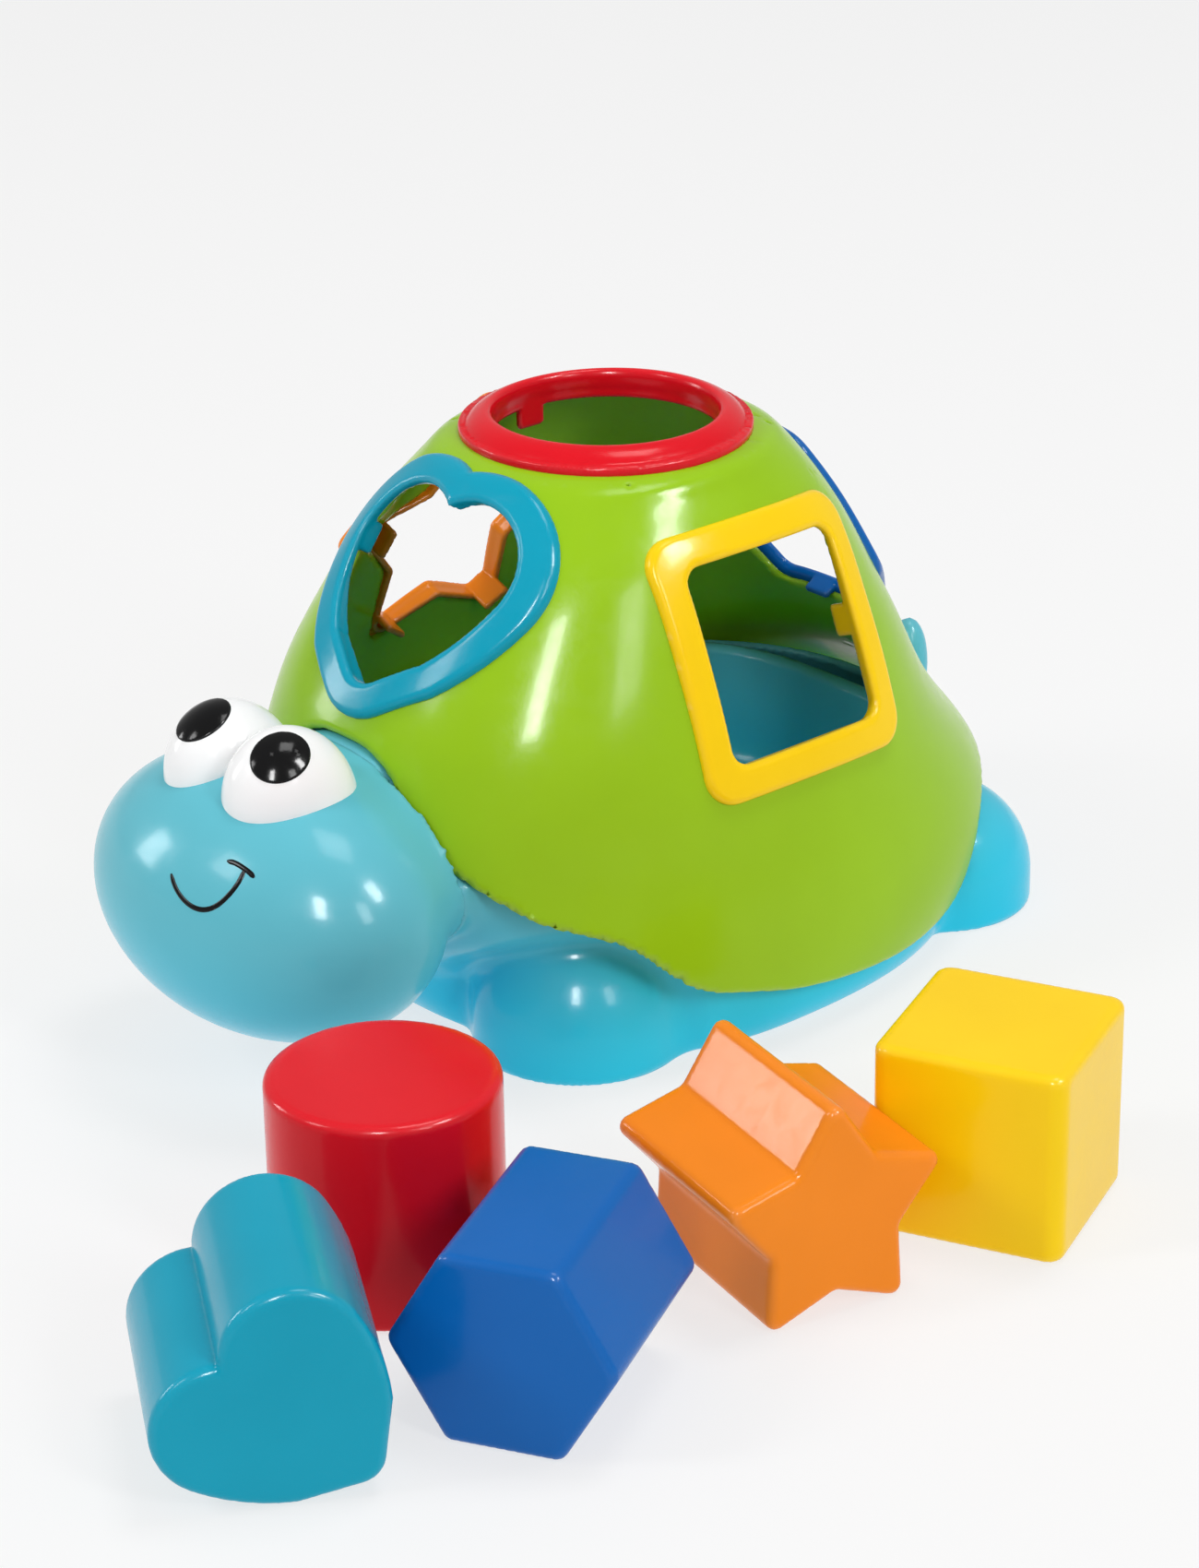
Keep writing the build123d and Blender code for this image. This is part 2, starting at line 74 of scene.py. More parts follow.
SIDE_EDGE = [(-44, 22.0), (-28, 19.2), (-12, 15.2), (8, 12.0), (33, 9.8), (50, 11.0), (60, 15.5),
             (67, 23.5), (75, 31.0), (88, 37.0), (104, 41.0), (118, 42.0)]
EDGE_BLEND = (-44.0, -28.0)
NOTCH_RADIUS, NOTCH_HEIGHT = 8.2, 41.0
RIB_PLACES, RIB_HALF = (-25.0, 25.0), (2.5, 2.0, 4.0)
RIB_X, RIB_Z = 70.0, 50.3
RIB_ROUNDING, RIB_SUNK = 0.4, 1.0
# the tail's notch is cut behind the first value, and the second stands for no notch
NOTCH_START, NO_NOTCH = 60.0, -50.0
EDGE_PLAY = 0.6

SIDE_LEAN, END_LEAN = math.radians(21.6), math.radians(36.3)
HOLE_PLAY, RIM_WIDTH, COLLAR = 2.0, 8.2, 1.6
RIM_PROUD, RIM_SUNK, RIM_ROUNDING = 2.0, 1.2, 1.45
COLLAR_DEPTH, TAB_DEPTH, TAB_WIDTH = 6.0, 11.0, 8.0
COLLAR_PLAY, COLLAR_ROUNDING, COLLAR_BLEND = 0.2, 0.6, 1.0
TAB_GROWTH, TAB_ROUNDING = 0.1, 0.5
# a window's hole is looked for within this distance of its centre and this far out of its plane
HOLE_REACH, HOLE_DEPTH = 52.0, 30.0
RING_PROUD = 3.4
SOFTENING = 0.4  # share by which a corner's radius grows with its outline

CIRCLE_RADIUS = 26.0
SQUARE_SIDE, SQUARE_HEIGHT, SQUARE_CORNER = 45.0, 46.0, 4.0
HEX_SIDE, HEX_CORNER = 25.5, 3.0
STAR_TIP, STAR_WAIST, STAR_CORNER = 29.5, 0.58, 2.5
STAR_TAB_INSET = 3.5
HEART_LOBE, HEART_SPREAD, HEART_TIP, HEART_CORNER = 15.2, 10.6, 33.5, 6.0
HEART_TIP_START = -25.0  # the tip's rounding starts below this height
HEART_LOBE_END = math.radians(-15)
HEART_LOBE_POINTS, HEART_SIDE_POINTS, HEART_TIP_POINTS = 24, 12, 6
BLOCK_DEPTH, BLOCK_WALL, PLUG_DEPTH, PLUG_SUNK = 50.0, 2.2, 3.0, 0.5
BLOCK_EDGE = 2.0

HEAD_CENTRE, HEAD_RADII = (0.0, -108.4, 46.6), (52.0, 35.4, 34.0)
EYE_CENTRE, EYE_RADII, EYE_LEAN = (11.4, -109.3, 73.4), (13.9, 16.6, 19.3), math.radians(23.7)
# x, y and radius of the front and rear feet
FEET = [(40.0, -46.0, 26.5), (42.0, 75.5, 24.5)]
EYE_EDGE, EYE_SUNK = 1.2, 1.0
FOOT_SHOULDER = 8.0
FOOT_BLEND = 4.0
# the chest is drawn in by this much beside the front feet, fading out over a distance, from this y on
CHEST_DRAW, CHEST_FADE, CHEST_START, CHEST_RUN, CHEST_RISE = 6.5, 9.0, -30.0, 20.0, 14.0
# the head and neck are one soft form above the first height, with a crease between them below it
CREASE_TOP, CREASE_RUN, NECK_BLEND, CREASE_BLEND = 28.0, 22.0, 15.0, 1.5
TAIL_TIP, TAIL_TIP_RADII = (0.0, 105.3, 42.5), (6.0, 6.0, 14.5)
TAIL_ROOT, TAIL_ROOT_RADIUS = (0.0, 97.0, 26.0), 13.5
TAIL_LEAN, TAIL_BLEND, TAIL_ROOT_BLEND = math.radians(-6), 5.0, 6.0
TUB_EDGE_ROUNDING, TUB_CORNER, SOLE_ROUNDING = 0.8, 3.0, 1.5
# the head and the body share one form: each keeps what is nearer to it, and they overlap a little
SHARE_SLOPE, SHARE_OVERLAP = 1.5, 1.0

# grid step of each piece's mesh
STEPS = {"shell": 1.3, "rim": 0.75, "body": 1.3, "head": 1.2, "bowl": 1.5, "eye": 0.7, "pupil": 0.35,
         "block": 1.0}


# ---------------------------------------------------------------- curves through a few points
def natural_spline(points):
    """A natural cubic spline through (x, value, ...) rows, as a function that holds its end values."""
    table = np.array(points, float)
    knots, values = table[:, 0], table[:, 1:]
    gap = np.diff(knots)
    count = len(knots)
    matrix = np.eye(count)
    right = np.zeros_like(values)
    for i in range(1, count - 1):
        matrix[i, i - 1:i + 2] = gap[i - 1], 2 * (gap[i - 1] + gap[i]), gap[i]
        right[i] = 6 * ((values[i + 1] - values[i]) / gap[i] - (values[i] - values[i - 1]) / gap[i - 1])
    bend = np.linalg.solve(matrix, right)

    def curve(x):
        x = np.clip(x, knots[0], knots[-1])
        i = np.clip(np.searchsorted(knots, x) - 1, 0, count - 2)
        a, b, h = knots[i + 1] - x, x - knots[i], gap[i]
        a, b, h = a[:, None], b[:, None], h[:, None]
        cubic = (bend[i] * a ** 3 + bend[i + 1] * b ** 3) / (6 * h)
        line = (values[i] / h - bend[i] * h / 6) * a + (values[i + 1] / h - bend[i + 1] * h / 6) * b
        return cubic + line

    return curve


front_edge = natural_spline(FRONT_EDGE)
side_edge = natural_spline(SIDE_EDGE)


# ---------------------------------------------------------------- distance fields
def rounded_and(a, b, radius):
    """Where both are negative, with the edge between them rounded."""
    corner = np.hypot(np.maximum(a + radius, 0), np.maximum(b + radius, 0))
    return np.minimum(np.maximum(a, b), -radius) + corner


def blended_or(a, b, reach):
    """Where either is negative, with the crease between them filled over this reach."""
    near = np.maximum(reach - np.abs(a - b), 0) / reach
    return np.minimum(a, b) - near * near * reach / 4


def gradient(field, p, step=0.05):
    """A field's value and slope at each point."""
    base = field(p)
    slopes = [(field(p + step * axis) - base) / step for axis in np.eye(3)]
    return base, np.stack(slopes, 1)


def ellipsoid(p, centre, radii, lean=0.0):
    """Distance to an ellipsoid that leans back about X."""
    q = p - np.array(centre)
    c, s = math.cos(lean), math.sin(lean)
    q = np.stack([q[:, 0], c * q[:, 1] + s * q[:, 2], c * q[:, 2] - s * q[:, 1]], 1)
    k0 = np.linalg.norm(q / radii, axis=1)
    k1 = np.linalg.norm(q / np.square(radii), axis=1)
    return k0 * (k0 - 1) / np.maximum(k1, 1e-9)


LEAST_RATIO, LEAST_STEEPNESS = 0.05, 0.5


def skin(sections):
    """Distance to the side of a form that is given by its egg-like sections."""
    curve = natural_spline(sections)

    def radial(p):
        half, front, back, square = curve(p[:, 2]).T
        x, y = np.abs(p[:, 0]), p[:, 1]
        reach = np.where(y > 0, back, front)
        ratio = ((x / half) ** square + (np.abs(y) / reach) ** square) ** (1 / square)
        return np.hypot(x, y) * (1 - 1 / np.maximum(ratio, LEAST_RATIO))

    def distance(p):
        value, slope = gradient(radial, p)
        return value / np.maximum(np.linalg.norm(slope, axis=1), LEAST_STEEPNESS)

    return distance


shell_side, tub_side, bowl_side = skin(SHELL_SECTIONS), skin(TUB_SECTIONS), skin(BOWL_SECTIONS)


def edge_height(p):
    """Height of the skirt's lower edge over each point."""
    start, end = EDGE_BLEND
    share = np.clip((p[:, 1] - start) / (end - start), 0, 1)
    share = share * share * (3 - 2 * share)
    return front_edge(np.abs(p[:, 0]))[:, 0] * (1 - share) + side_edge(p[:, 1])[:, 0] * share


def under_edge(p):
    """Distance to the skirt's lower edge, negative above it."""
    height, slope = gradient(edge_height, p)
    return (height - p[:, 2]) / np.sqrt(1 + (slope * slope).sum(1))


def shell_skin(p):
    """Distance to the dome's outer surface, with the edge at its top rounded."""
    return rounded_and(shell_side(p), p[:, 2] - SHELL_TOP, SHELL_TOP_ROUNDING)


def box_field(p, centre, half, rounding):
    """Distance to a box with rounded edges."""
    q = np.abs(p - np.array(centre)) - np.array(half) + rounding
    return np.linalg.norm(np.maximum(q, 0), axis=1) + np.minimum(q.max(1), 0) - rounding


# ---------------------------------------------------------------- outlines of the five shapes
def filleted(corners, radius, steps=8):
    """A closed outline with each corner turned into an arc. One radius, or one for each corner."""
    corners = np.array(corners, float)
    count = len(corners)
    radii = [radius] * count if np.isscalar(radius) else radius
    points = []
    for i in range(count):
        before, here, after = corners[i - 1], corners[i], corners[(i + 1) % count]
        if not radii[i]:
            points.append(here)
            continue
        u = (before - here) / np.linalg.norm(before - here)
        v = (after - here) / np.linalg.norm(after - here)
        half = math.acos(np.clip(u @ v, -1, 1)) / 2
        run = radii[i] / math.tan(half)
        centre = here + (u + v) / np.linalg.norm(u + v) * radii[i] / math.sin(half)
        start, end = here + u * run - centre, here + v * run - centre
        sweep = math.atan2(start[0] * end[1] - start[1] * end[0], start @ end)
        for k in range(steps + 1):
            turn = sweep * k / steps
            c, s = math.cos(turn), math.sin(turn)
            points.append(centre + (c * start[0] - s * start[1], s * start[0] + c * start[1]))
    return np.array(points)


def grown(corners, grow):
    """Corners moved outwards so that each side moves by grow."""
    corners = np.array(corners, float)
    moved = []
    for i in range(len(corners)):
        before, here, after = corners[i - 1], corners[i], corners[(i + 1) % len(corners)]
        a, b = here - before, after - here
        na = np.array([a[1], -a[0]]) / np.linalg.norm(a)
        nb = np.array([b[1], -b[0]]) / np.linalg.norm(b)
        moved.append(here + grow * (na + nb) / (1 + na @ nb))
    return moved


def ring_points(radii, start=90.0):
    """Points evenly turned round the centre, each at its own radius."""
    count = len(radii)
    turns = [math.radians(start + 360 * i / count) for i in range(count)]
    return [(r * math.cos(t), r * math.sin(t)) for r, t in zip(radii, turns)]


def square_outline(grow):
    half = SQUARE_SIDE / 2
    corners = [(-half, -half), (half, -half), (half, half), (-half, half)]
    return filleted(grown(corners, grow), SQUARE_CORNER + max(grow, 0) * SOFTENING)


def hexagon_outline(grow):
    corners = ring_points([HEX_SIDE] * 6, 0)
    return filleted(grown(corners, grow), HEX_CORNER + max(grow, 0) * SOFTENING)


def star_outline(grow):
    corners = ring_points([STAR_TIP, STAR_TIP * STAR_WAIST] * 5)
    return filleted(grown(corners, grow), STAR_CORNER)


def heart_outline():
    """Two lobes with a sharp notch, and sides that bow gently to a rounded tip."""
    notch = math.sqrt(HEART_LOBE ** 2 - HEART_SPREAD ** 2)
    turns = np.linspace(math.atan2(notch, -HEART_SPREAD), HEART_LOBE_END, HEART_LOBE_POINTS)
    lobe = [(HEART_SPREAD + HEART_LOBE * math.cos(t), HEART_LOBE * math.sin(t)) for t in turns]
    start = np.array(lobe[-1])
    leave = np.array([math.sin(HEART_LOBE_END), -math.cos(HEART_LOBE_END)])
    inward = np.array([leave[1], -leave[0]])
    reach = np.array([0, -HEART_TIP]) - start
    radius = reach @ reach / (2 * reach @ inward)
    centre = start + inward * radius
    bend = 2 * math.asin(np.linalg.norm(reach) / (2 * radius))
    arm = start - centre
    side = []
    for turn in np.linspace(0, bend, HEART_SIDE_POINTS)[1:]:
        c, s = math.cos(turn), math.sin(turn)
        side.append((centre[0] + c * arm[0] + s * arm[1], centre[1] - s * arm[0] + c * arm[1]))
    flank = [point for point in side[:-1] if point[1] > HEART_TIP_START]
    right = lobe + flank
    left = [(-x, y) for x, y in reversed(right[1:])]
    corners = right + [side[-1]] + left
    radii = [HEART_CORNER if point is side[-1] else 0 for point in corners]
    return filleted(corners, radii, HEART_TIP_POINTS)


def polygon_distance(q, outline):
    """Signed distance in the plane to a closed outline."""
    nearest = np.full(len(q), np.inf)
    inside = np.zeros(len(q), bool)
    for a, b in zip(outline, np.roll(outline, -1, 0)):
        side, arm = b - a, q - a
        length = side @ side
        if length < 1e-12:
            continue
        share = np.clip(arm @ side / length, 0, 1)
        off = arm - share[:, None] * side
        nearest = np.minimum(nearest, (off * off).sum(1))
        crosses = (a[1] > q[:, 1]) != (b[1] > q[:, 1])
        if a[1] != b[1]:
            inside ^= crosses & (q[:, 0] < a[0] + (q[:, 1] - a[1]) * side[0] / (b[1] - a[1]))
    return np.sqrt(nearest) * np.where(inside, -1, 1)


def outline_field(name, grow=0.0):
    """Distance in the plane to one of the five shapes, grown by this much."""
    if name == "circle":
        return lambda q: np.hypot(q[:, 0], q[:, 1]) - CIRCLE_RADIUS - grow
    if name == "heart":
        heart = heart_outline()
        return lambda q: polygon_distance(q, heart) - grow
    outline = {"square": square_outline, "hexagon": hexagon_outline, "star": star_outline}[name](grow)
    return lambda q: polygon_distance(q, outline)


# ---------------------------------------------------------------- windows
def window_frames():
    """Origin, right and outward direction of each window's plane."""
    c, s = math.cos(SIDE_LEAN), math.sin(SIDE_LEAN)
    e, t = math.cos(END_LEAN), math.sin(END_LEAN)
    return {
        "circle": ((0, 0, 140.6), (1, 0, 0), (0, 0, 1)),
        "square": ((61.0, 4.0, 96.3), (0, 1, 0), (c, 0, s)),
        "star": ((-61.0, -4.0, 96.3), (0, -1, 0), (-c, 0, s)),
        "heart": ((0, -59.3, 119.0), (1, 0, 0), (0, -e, t)),
        "hexagon": ((0, 66.0, 100.0), (-1, 0, 0), (0, e, t)),
    }


WINDOWS = window_frames()
TABS = {
    "circle": [(CIRCLE_RADIUS, 0), (CIRCLE_RADIUS, 180)],
    "square": [(SQUARE_SIDE / 2, 0), (SQUARE_SIDE / 2, 180)],
    "hexagon": [(HEX_SIDE * math.cos(math.pi / 6), 90), (HEX_SIDE * math.cos(math.pi / 6), 270)],
    "star": [(STAR_TIP - STAR_TAB_INSET, 90 + 72 * i) for i in range(5)],
    "heart": [(HEART_LOBE + HEART_SPREAD, 0), (HEART_LOBE + HEART_SPREAD, 180)],
}


def in_plane(p, plane):
    """Coordinates of points across, up and out of a plane."""
    origin, right, out = (np.array(v, float) for v in plane)
    up = np.cross(out, right)
    q = p - origin
    return np.stack([q @ right, q @ up, q @ out], 1)


def in_hole(p, name, outline):
    """Negative in the prism of a window, near its own side of the shell."""
    q = in_plane(p, WINDOWS[name])
    distance = np.linalg.norm(q, axis=1) - HOLE_REACH
    near = distance < 0
    distance[near] = np.maximum(outline(q[near, :2]), np.abs(q[near, 2]) - HOLE_DEPTH)
    return distance


SHELL_HOLES = {name: outline_field(name, HOLE_PLAY + COLLAR + COLLAR_PLAY) for name in WINDOWS}


def shell_field(p):
    """The dome's wall with its ribs, its lower edge and notch, and the five holes."""
    side = shell_skin(p)
    wall = np.maximum(side, -side - WALL)
    for y in RIB_PLACES:
        for x in (-RIB_X, RIB_X):
            rib = box_field(p, (x, y, RIB_Z), RIB_HALF, RIB_ROUNDING)
            wall = np.minimum(wall, np.maximum(rib, side + RIB_SUNK))
    below = under_edge(p)
    notch = NOTCH_RADIUS - np.hypot(p[:, 0], p[:, 2] - NOTCH_HEIGHT)
    below = np.maximum(below, np.where(p[:, 1] > NOTCH_START, notch, NO_NOTCH))
    wall = rounded_and(wall, below, LIP_ROUNDING)
    for name, outline in SHELL_HOLES.items():
        wall = np.maximum(wall, -in_hole(p, name, outline))
    return wall


def rim_field(name):
    """A rounded bead that follows the shell, with a collar through the hole and snap tabs inside."""
    hole = outline_field(name, HOLE_PLAY)
    outer = outline_field(name, HOLE_PLAY + RIM_WIDTH)
    proud = RING_PROUD if name == "circle" else RIM_PROUD

    def field(p):
        q = in_plane(p, WINDOWS[name])
        inside, outside = hole(q[:, :2]), outer(q[:, :2])
        height = shell_skin(p)
        band = np.maximum(-inside, outside)
        bead = rounded_and(band, np.abs(height - (proud - RIM_SUNK) / 2) - (proud + RIM_SUNK) / 2,
                           RIM_ROUNDING)
        ends = np.abs(q[:, 2] + COLLAR_DEPTH / 2) - COLLAR_DEPTH / 2
        sleeve = rounded_and(np.maximum(-inside, inside - COLLAR), ends, COLLAR_ROUNDING)
        sleeve = np.maximum(sleeve, height - proud / 2)
        shape = blended_or(bead, sleeve, COLLAR_BLEND)
        for distance, direction in TABS[name]:
            turn = math.radians(direction)
            along = q[:, 0] * math.cos(turn) + q[:, 1] * math.sin(turn)
            across = q[:, 1] * math.cos(turn) - q[:, 0] * math.sin(turn)
            local = np.stack([along, across, q[:, 2]], 1)
            centre = (distance + HOLE_PLAY + COLLAR / 2, 0, -TAB_DEPTH / 2)
            half = (COLLAR / 2 + TAB_GROWTH, TAB_WIDTH / 2, TAB_DEPTH / 2)
            tab = box_field(local, centre, half, TAB_ROUNDING)
            shape = np.minimum(shape, np.maximum(tab, height - proud / 2))
        return np.maximum(shape, np.abs(q[:, 2]) - HOLE_DEPTH)

    return field


# ---------------------------------------------------------------- body and head
def shell_room(p):
    """Negative where the shell is or passes, with a little play."""
    return np.maximum(shell_side(p) - EDGE_PLAY, edge_height(p) - EDGE_PLAY - p[:, 2])


def foot_field(p, x, y, radius):
    """A column with a round top, on each side of the turtle."""
    q = np.stack([np.abs(p[:, 0]) - x, p[:, 1] - y, np.maximum(p[:, 2] - FOOT_SHOULDER, 0)], 1)
    return np.linalg.norm(q, axis=1) - radius


def chest_form(p):
    """The tub, drawn in beside the front feet so that they stand out."""
    off = np.maximum(foot_field(p, *FEET[0]), 0) / CHEST_FADE
    share = np.clip((CHEST_START - p[:, 1]) / CHEST_RUN, 0, 1) * np.clip(p[:, 2] / CHEST_RISE, 0, 1)
    return tub_side(p) + CHEST_DRAW * share * np.exp(-off * off)


def body_form(p):
    """The tub with its feet."""
    form = chest_form(p)
    for foot in FEET:
        form = blended_or(form, foot_field(p, *foot), FOOT_BLEND)
    return form


def head_form(p):
    return ellipsoid(p, HEAD_CENTRE, HEAD_RADII)


def outer_body(p, tub, head):
    """The outside of the body and head as one soft form, clear of the shell."""
    share = np.clip((p[:, 2] - CREASE_TOP) / CREASE_RUN, 0, 1)
    form = blended_or(tub, head, CREASE_BLEND + NECK_BLEND * share * share * (3 - 2 * share))
    return np.minimum(chest_form(p), np.maximum(form, -shell_room(p)))


def tail_form(p):
    """An upright tip on a round root."""
    tip = ellipsoid(p, TAIL_TIP, TAIL_TIP_RADII, TAIL_LEAN)
    root = np.linalg.norm(p - np.array(TAIL_ROOT), axis=1) - TAIL_ROOT_RADIUS
    return blended_or(tip, root, TAIL_ROOT_BLEND)


def head_field(p):
    """The head's share of the soft form: nearer to its own ball than to the body."""
    tub, head = body_form(p), head_form(p)
    return np.maximum(outer_body(p, tub, head), (head - tub) / SHARE_SLOPE)


def body_field(p):
    """The hollow tub with its neck wall, feet and tail."""
    tub, head = body_form(p), head_form(p)
    body = np.maximum(outer_body(p, tub, head), (tub - head) / SHARE_SLOPE - SHARE_OVERLAP)
    body = rounded_and(body, np.minimum(p[:, 2] - TUB_TOP, p[:, 1] - NECK_BACK), TUB_EDGE_ROUNDING)
    body = rounded_and(body, p[:, 2] - NECK_TOP, TUB_EDGE_ROUNDING)
    body = blended_or(body, tail_form(p), TAIL_BLEND)
    room = rounded_and(chest_form(p) + WALL, WALL - p[:, 2], TUB_CORNER)
    body = np.maximum(body, -room)
    return rounded_and(body, -p[:, 2], SOLE_ROUNDING)


def bowl_field(p):
    """The liner bowl, with a lip that hangs over the tub's edge."""
    side = bowl_side(p)
    outer = rounded_and(side, BOWL_FLOOR - p[:, 2], BOWL_CORNER)
    inner = rounded_and(side + WALL, BOWL_FLOOR + WALL - p[:, 2], BOWL_CORNER)
    wall = np.maximum(outer, -inner)
    lip = np.maximum(np.maximum(side - BOWL_LIP, -side - WALL), TUB_TOP - p[:, 2])
    return rounded_and(np.minimum(wall, lip), p[:, 2] - BOWL_TOP, BOWL_LIP_ROUNDING)


def eye_field(side):
    """Half of an ellipsoid, flat where the two eyes meet and seated in the head."""
    centre = (side * EYE_CENTRE[0], EYE_CENTRE[1], EYE_CENTRE[2])

    def field(p):
        ball = ellipsoid(p, centre, EYE_RADII, EYE_LEAN)
        ball = rounded_and(ball, -side * p[:, 0], EYE_EDGE)
        return np.maximum(ball, -head_form(p) - EYE_SUNK)

    return field


# place, direction across, and facing
PUPILS = {"left": ((17.0, -115.8, 88.9), (0.92, 0.1, -0.33), (0.35, -0.42, 0.84)),
          "right": ((-11.3, -116.8, 89.4), (1, 0, 0), (0.02, -0.49, 0.87))}
PUPIL_RADII = (6.2, 7.4)
PUPIL_PROUD, PUPIL_SUNK, PUPIL_REACH, PUPIL_ROUNDING = 0.3, 0.6, 6.0, 0.15


def pupil_field(name):
    """A thin oval that follows the eye's surface."""
    place, right, out = (np.array(v, float) for v in PUPILS[name])
    side = 1 if name == "left" else -1
    out = out / np.linalg.norm(out)
    right = right - (right @ out) * out
    right = right / np.linalg.norm(right)
    centre = (side * EYE_CENTRE[0], EYE_CENTRE[1], EYE_CENTRE[2])

    def field(p):
        q = in_plane(p, (place, right, out))
        k0 = np.hypot(q[:, 0] / PUPIL_RADII[0], q[:, 1] / PUPIL_RADII[1])
        disc = (k0 - 1) * min(PUPIL_RADII)
        ball = ellipsoid(p, centre, EYE_RADII, EYE_LEAN)
        layer = np.maximum(ball - PUPIL_PROUD, -ball - PUPIL_SUNK)
        return rounded_and(np.maximum(disc, np.abs(q[:, 2]) - PUPIL_REACH), layer, PUPIL_ROUNDING)

    return field


# ---------------------------------------------------------------- blocks
HEART_ROLL = 46.7
# x, y, turn of the right-hand direction, roll about the block's own axis
BLOCK_PLACES = {
    "circle": (96.3, -150.4, 0.0, 0.0),
    "square": (165.0, -30.0, 24.3, 0.0),
    "heart": (151.5, -226.5, 60.0, HEART_ROLL),
    "hexagon": (168.0, -178.6, 28.5, 0.0),
    "star": (175.5, -90.3, 78.0, 0.0),
}
LYING = {"hexagon": hexagon_outline(0), "star": star_outline(0), "heart": heart_outline()}


def block_plane(name):
    """Origin, right and outward direction of the frame in which a block stands along its depth."""
    x, y, turn, roll = BLOCK_PLACES[name]
    turn, roll = math.radians(turn), math.radians(roll)
    right = np.array([math.cos(turn), math.sin(turn), 0])
    if name not in LYING:
        return (x, y, 0), right, (0, 0, 1)
    front = np.array([math.sin(turn), -math.cos(turn), 0])
    up = np.cross(front, right)
    right = right * math.cos(roll) + up * math.sin(roll)
    up = np.cross(front, right)
    lowest = (LYING[name] @ np.array([right[2], up[2]])).min()
    return (x, y, -lowest) - BLOCK_DEPTH * front, right, front


def block_field(name):
    """A block with rounded end edges and a recess for its plug."""
    plane = block_plane(name)
    depth = SQUARE_HEIGHT if name == "square" else BLOCK_DEPTH
    outline = outline_field(name)
    recess = outline_field(name, -BLOCK_WALL)

    def field(p):
        q = in_plane(p, plane)
        solid = rounded_and(outline(q[:, :2]), np.abs(q[:, 2] - depth / 2) - depth / 2, BLOCK_EDGE)
        return np.maximum(solid, -np.maximum(recess(q[:, :2]), q[:, 2] - PLUG_SUNK - PLUG_DEPTH))

    return field


# ---------------------------------------------------------------- meshing a field
def surface_nets(values):
    """Vertices, in grid steps, and quads of the surface where the values change sign."""
    cells = np.array(values.shape) - 1
    total = np.zeros((3, cells.prod()))
    count = np.zeros(cells.prod())
    faces = []
    for axis in range(3):
        u, v = (axis + 1) % 3, (axis + 2) % 3
        low = np.take(values, range(cells[axis]), axis)
        high = np.take(values, range(1, cells[axis] + 1), axis)
        cross = (low < 0) != (high < 0)
        node = np.argwhere(cross)
        a, b = low[cross], high[cross]
        point = node.astype(float)
        point[:, axis] += a / (a - b)
        corners = []
        for du, dv in ((0, 0), (-1, 0), (-1, -1), (0, -1)):
            cell = node.copy()
            cell[:, u] += du
            cell[:, v] += dv
            flat = np.ravel_multi_index(cell.T, cells)
            corners.append(flat)
            count += np.bincount(flat, minlength=len(count))
            for k in range(3):
                total[k] += np.bincount(flat, weights=point[:, k], minlength=len(count))
        quads = np.stack(corners, 1)
        quads[a >= 0] = quads[a >= 0][:, ::-1]
        faces.append(quads)
    used = np.flatnonzero(count)
    number = np.full(len(count), -1)
    number[used] = np.arange(len(used))
    return (total[:, used] / count[used]).T, number[np.concatenate(faces)]


COARSE = 6  # grid steps in one coarse block
NEAR = 1.25  # a block is looked at in detail when its middle is nearer than this many block sides
FINE = 0.02  # step for the slope of a field at the surface, in millimetres
LEAST_SLOPE = 0.2


def relaxed(points, faces):
    """Each vertex moved halfway to the mean of its neighbours, which evens out the mesh."""
    a, b = faces.ravel(), np.roll(faces, -1, 1).ravel()
    count = np.bincount(a, minlength=len(points)) + np.bincount(b, minlength=len(points))
    mean = np.stack([np.bincount(a, points[b, k], len(points)) + np.bincount(b, points[a, k], len(points))
                     for k in range(3)], 1) / count[:, None]
    return (points + mean) / 2


def mesh_of(field, low, high, step):
    """Vertices and quads of the surface where the field is zero, inside a box."""
    low = np.array(low, float) - 2 * step
    size = np.ceil((np.array(high, float) + 2 * step - low) / (step * COARSE)).astype(int) * COARSE
    axes = [low[k] + step * np.arange(size[k]) for k in range(3)]
    middle = [axis.reshape(-1, COARSE).mean(1) for axis in axes]
    blocks = np.stack(np.meshgrid(*middle, indexing="ij"), -1)
    coarse = field(blocks.reshape(-1, 3)).reshape(blocks.shape[:3])
    values = coarse.repeat(COARSE, 0).repeat(COARSE, 1).repeat(COARSE, 2)
    near = np.argwhere(np.abs(values) < NEAR * COARSE * step)
    values[tuple(near.T)] = field(low + step * near)
    points, faces = surface_nets(values)
    points = low + step * points
    for turn in range(3):
        if turn:
            points = relaxed(points, faces)
        value, slope = gradient(field, points, FINE)
        shift = -value / np.maximum((slope * slope).sum(1), LEAST_SLOPE)
        points += np.clip(shift, -0.5 * step, 0.5 * step)[:, None] * slope
    return points, faces


def add_mesh(name, points, faces, body, material, slot, node=None):
    """A smooth-shaded piece in the row frame that rides on a body and may stand for a CAD node."""
    mesh = bpy.data.meshes.new(name)
    mesh.from_pydata((points * MM).tolist(), [], faces)
    mesh.validate()
    mesh.shade_smooth()
    piece = bpy.data.objects.new(name, mesh)
    bpy.context.scene.collection.objects.link(piece)
    mesh.materials.append(material)
    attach(piece, body)
    if node:
        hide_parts(node)


def grow_piece(name, field, node, body, slot, step, margin=3.0):
    """Meshes a field in the box of a CAD node, which the piece stands for."""
    low, high = (np.array(corner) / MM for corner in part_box(node))
    points, faces = mesh_of(field, low - margin, high + margin, step)
    add_mesh(name, points, faces.tolist(), body, MATERIALS[slot], slot, node)


